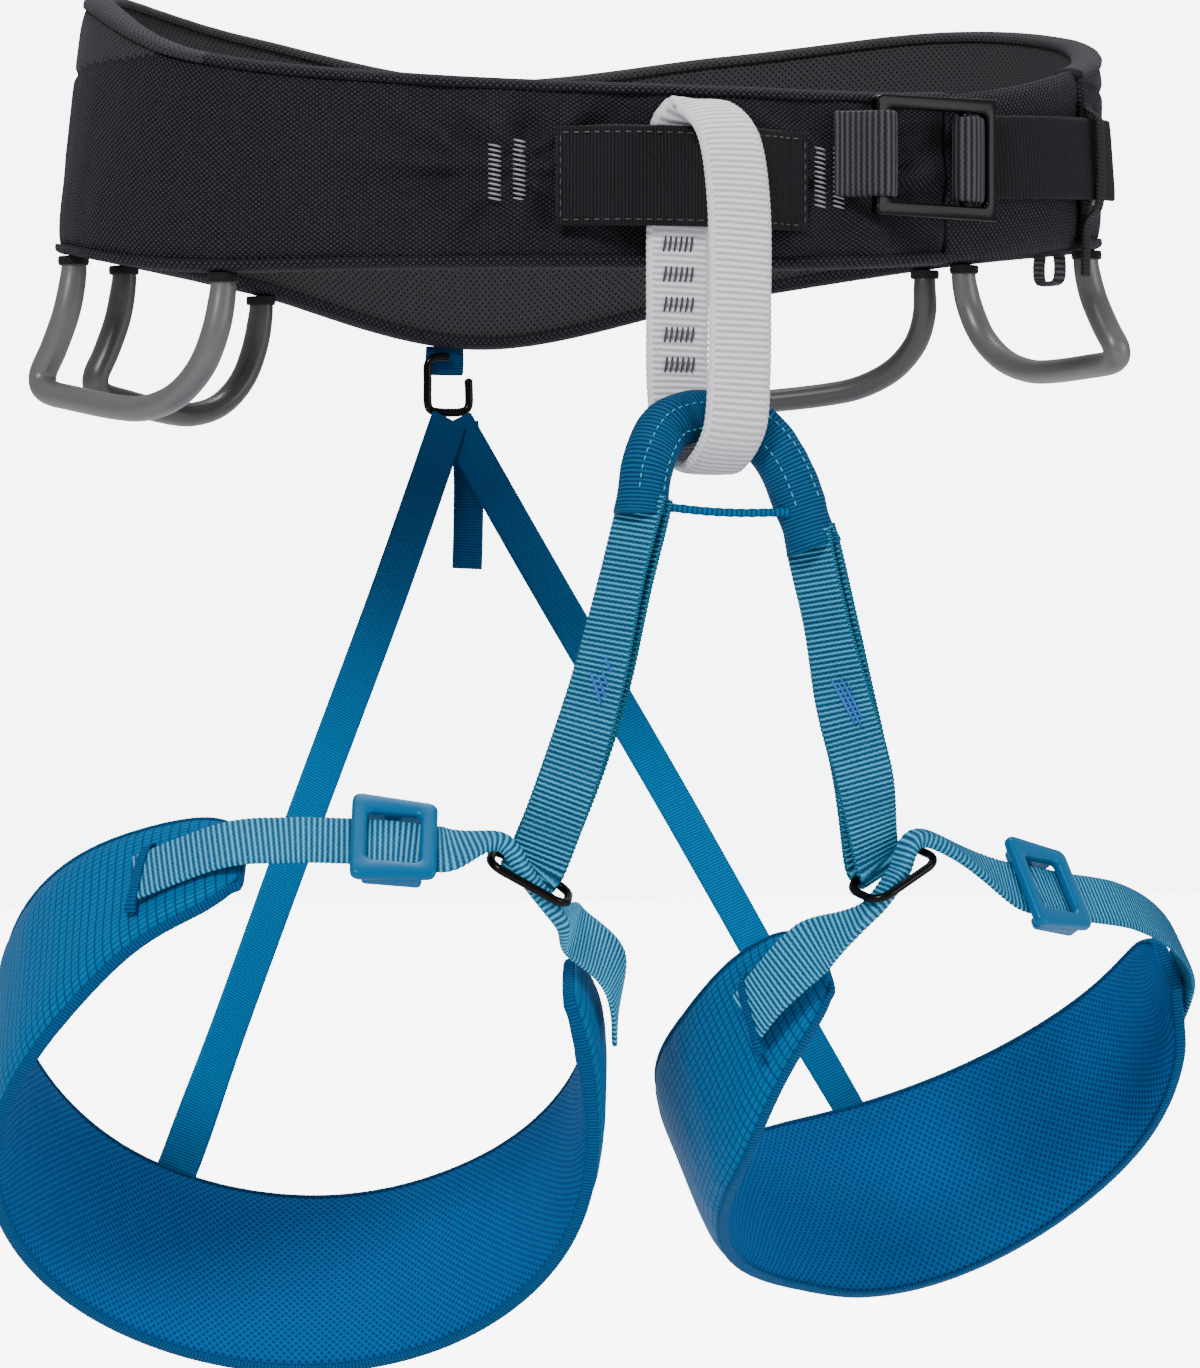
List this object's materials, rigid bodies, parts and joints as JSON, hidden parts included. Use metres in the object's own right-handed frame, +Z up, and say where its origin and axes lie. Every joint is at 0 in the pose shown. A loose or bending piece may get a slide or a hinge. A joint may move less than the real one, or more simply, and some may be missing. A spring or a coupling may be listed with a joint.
{
  "type": "climbing harness",
  "caption": "Climbing harness with a padded waist belt, gear loops, a belay loop and two padded adjustable leg loops on elastic risers.",
  "frame": {"origin": "middle of the waist webbing's height, in the wearer's middle plane, at the middle of the waist opening's depth", "axes": "+Z up along the waist opening, -Y the way the wearer faces, +X the wearer's left"},
  "size_m": [0.3344, 0.2453, 0.3665],
  "materials": {
    "belt_fabric": "black basket-woven pack fabric with a slight sheen",
    "belt_mesh": "black knitted spacer mesh",
    "foam": "closed-cell foam",
    "black_webbing": "ribbed black nylon webbing",
    "grey_thread": "thick grey bonded thread in zigzag columns",
    "black_metal": "gloss black anodised metal",
    "moulded_grey": "satin grey moulded urethane",
    "white_webbing": "grey-white ribbed nylon webbing",
    "black_thread": "thick near-black bonded thread",
    "blue_sleeve": "blue woven sleeve with stitched lines",
    "blue_webbing": "blue ribbed nylon webbing",
    "blue_elastic": "flat blue knitted elastic",
    "blue_plastic": "satin blue moulded nylon",
    "leg_fabric": "blue ripstop with a darker grid",
    "leg_mesh": "deep blue knitted spacer mesh"
  },
  "bodies": {
    "waist_belt": {"belt_shell": "belt_fabric", "belt_foam": "foam", "belt_liner": "belt_mesh", "waist_webbing": "black_webbing", "top_binding": "belt_fabric", "bottom_binding": "belt_fabric", "belt_tongue": "belt_fabric", "wing_end_binding": "belt_fabric", "tie_in_loop": "black_webbing", "tie_in_sleeve": "black_webbing", "belt_bar_tacks": "grey_thread", "buckle_webbing": "black_webbing", "gear_loop_tabs": "belt_fabric", "ice_clipper_slot": "black_webbing", "haul_loop_anchor": "black_webbing", "rear_elastic_loop": "blue_elastic"},
    "waist_buckle": {"waist_buckle": "black_metal", "strap_turn": "black_webbing"},
    "waist_strap": {"waist_strap": "black_webbing"},
    "gear_loop_front_right": {"gear_loop_front_right": "moulded_grey"},
    "gear_loop_rear_right": {"gear_loop_rear_right": "moulded_grey"},
    "gear_loop_front_left": {"gear_loop_front_left": "moulded_grey"},
    "gear_loop_rear_left": {"gear_loop_rear_left": "moulded_grey"},
    "haul_loop": {"haul_loop": "black_webbing"},
    "belay_loop": {"belay_loop": "white_webbing", "belay_loop_tacks": "black_thread"},
    "leg_bridge": {"bridge_sleeve": "blue_sleeve", "bridge_cord": "blue_elastic", "bridge_strap_right": "blue_webbing", "bridge_strap_left": "blue_webbing", "ring_right": "black_metal", "ring_left": "black_metal", "riser_hook": "black_metal", "riser_right": "blue_elastic", "riser_left": "blue_elastic", "riser_tail": "blue_elastic"},
    "leg_loop_right": {"leg_shell_right": "leg_fabric", "leg_foam_right": "foam", "leg_liner_right": "leg_mesh", "leg_strap_right": "blue_webbing"},
    "leg_loop_left": {"leg_shell_left": "leg_fabric", "leg_foam_left": "foam", "leg_liner_left": "leg_mesh", "leg_strap_left": "blue_webbing"},
    "leg_buckle_right": {"leg_buckle_right": "blue_plastic"},
    "leg_buckle_left": {"leg_buckle_left": "blue_plastic"}
  },
  "joints": [
    {"name": "waist_buckle_tilt", "type": "hinge", "parent": "waist_belt", "child": "waist_buckle", "pos_m": [0.05436, -0.09974, 0.0035], "axis": [0, 0, -1], "range_deg": [0, 25]},
    {"name": "waist_strap_pull", "type": "hinge", "parent": "waist_belt", "child": "waist_strap", "pos_m": [0.03192, 0.0491, 0.00332], "axis": [-0.0785, 0, 0.9969], "range_deg": [-3, 3]},
    {"name": "gear_loop_front_right_swing", "type": "hinge", "parent": "waist_belt", "child": "gear_loop_front_right", "pos_m": [-0.13298, 0.00566, -0.02184], "axis": [-0.4027, 0.9072, 0.122], "range_deg": [-6, 20], "stiffness_Nm_per_rad": 0.05},
    {"name": "gear_loop_rear_right_swing", "type": "hinge", "parent": "waist_belt", "child": "gear_loop_rear_right", "pos_m": [-0.1049, 0.06184, -0.02006], "axis": [0.8565, 0.5056, -0.1042], "range_deg": [-6, 20], "stiffness_Nm_per_rad": 0.05},
    {"name": "gear_loop_front_left_swing", "type": "hinge", "parent": "waist_belt", "child": "gear_loop_front_left", "pos_m": [0.14423, -0.02551, -0.01597], "axis": [0.0963, -0.9953, -0.0077], "range_deg": [-6, 20], "stiffness_Nm_per_rad": 0.05},
    {"name": "gear_loop_rear_left_swing", "type": "hinge", "parent": "waist_belt", "child": "gear_loop_rear_left", "pos_m": [0.08688, 0.08506, -0.02337], "axis": [0.8125, -0.5674, 0.1333], "range_deg": [-6, 20], "stiffness_Nm_per_rad": 0.05},
    {"name": "haul_loop_swing", "type": "hinge", "parent": "waist_belt", "child": "haul_loop", "pos_m": [0.009, 0.1075, 0.0002], "axis": [1, 0, 0], "range_deg": [0, 60]},
    {"name": "belay_loop_swing", "type": "hinge", "parent": "waist_belt", "child": "belay_loop", "pos_m": [0, -0.104, -0.018], "axis": [-1, 0, 0], "range_deg": [0, 60], "deforming": ["belay_loop"]},
    {"name": "leg_bridge_swing", "type": "hinge", "parent": "belay_loop", "child": "leg_bridge", "pos_m": [0, -0.1172, -0.0636], "axis": [-1, 0, 0], "range_deg": [0, 35]},
    {"name": "leg_loop_right_roll", "type": "hinge", "parent": "leg_bridge", "child": "leg_loop_right", "pos_m": [-0.0485, -0.122, -0.178], "axis": [-0.3244, 0.8156, -0.4791], "range_deg": [-6, 6]},
    {"name": "leg_loop_left_roll", "type": "hinge", "parent": "leg_bridge", "child": "leg_loop_left", "pos_m": [0.0485, -0.122, -0.178], "axis": [0.2671, 0.8595, -0.4359], "range_deg": [-6, 6]},
    {"name": "leg_buckle_right_slide", "type": "slide", "parent": "leg_loop_right", "child": "leg_buckle_right", "axis": [0.9675, -0.2387, -0.0833], "range_m": [-0.008, 0.0025]},
    {"name": "leg_buckle_left_slide", "type": "slide", "parent": "leg_loop_left", "child": "leg_buckle_left", "axis": [0.8958, 0.4157, -0.1572], "range_m": [-0.005, 0.005]}
  ]
}
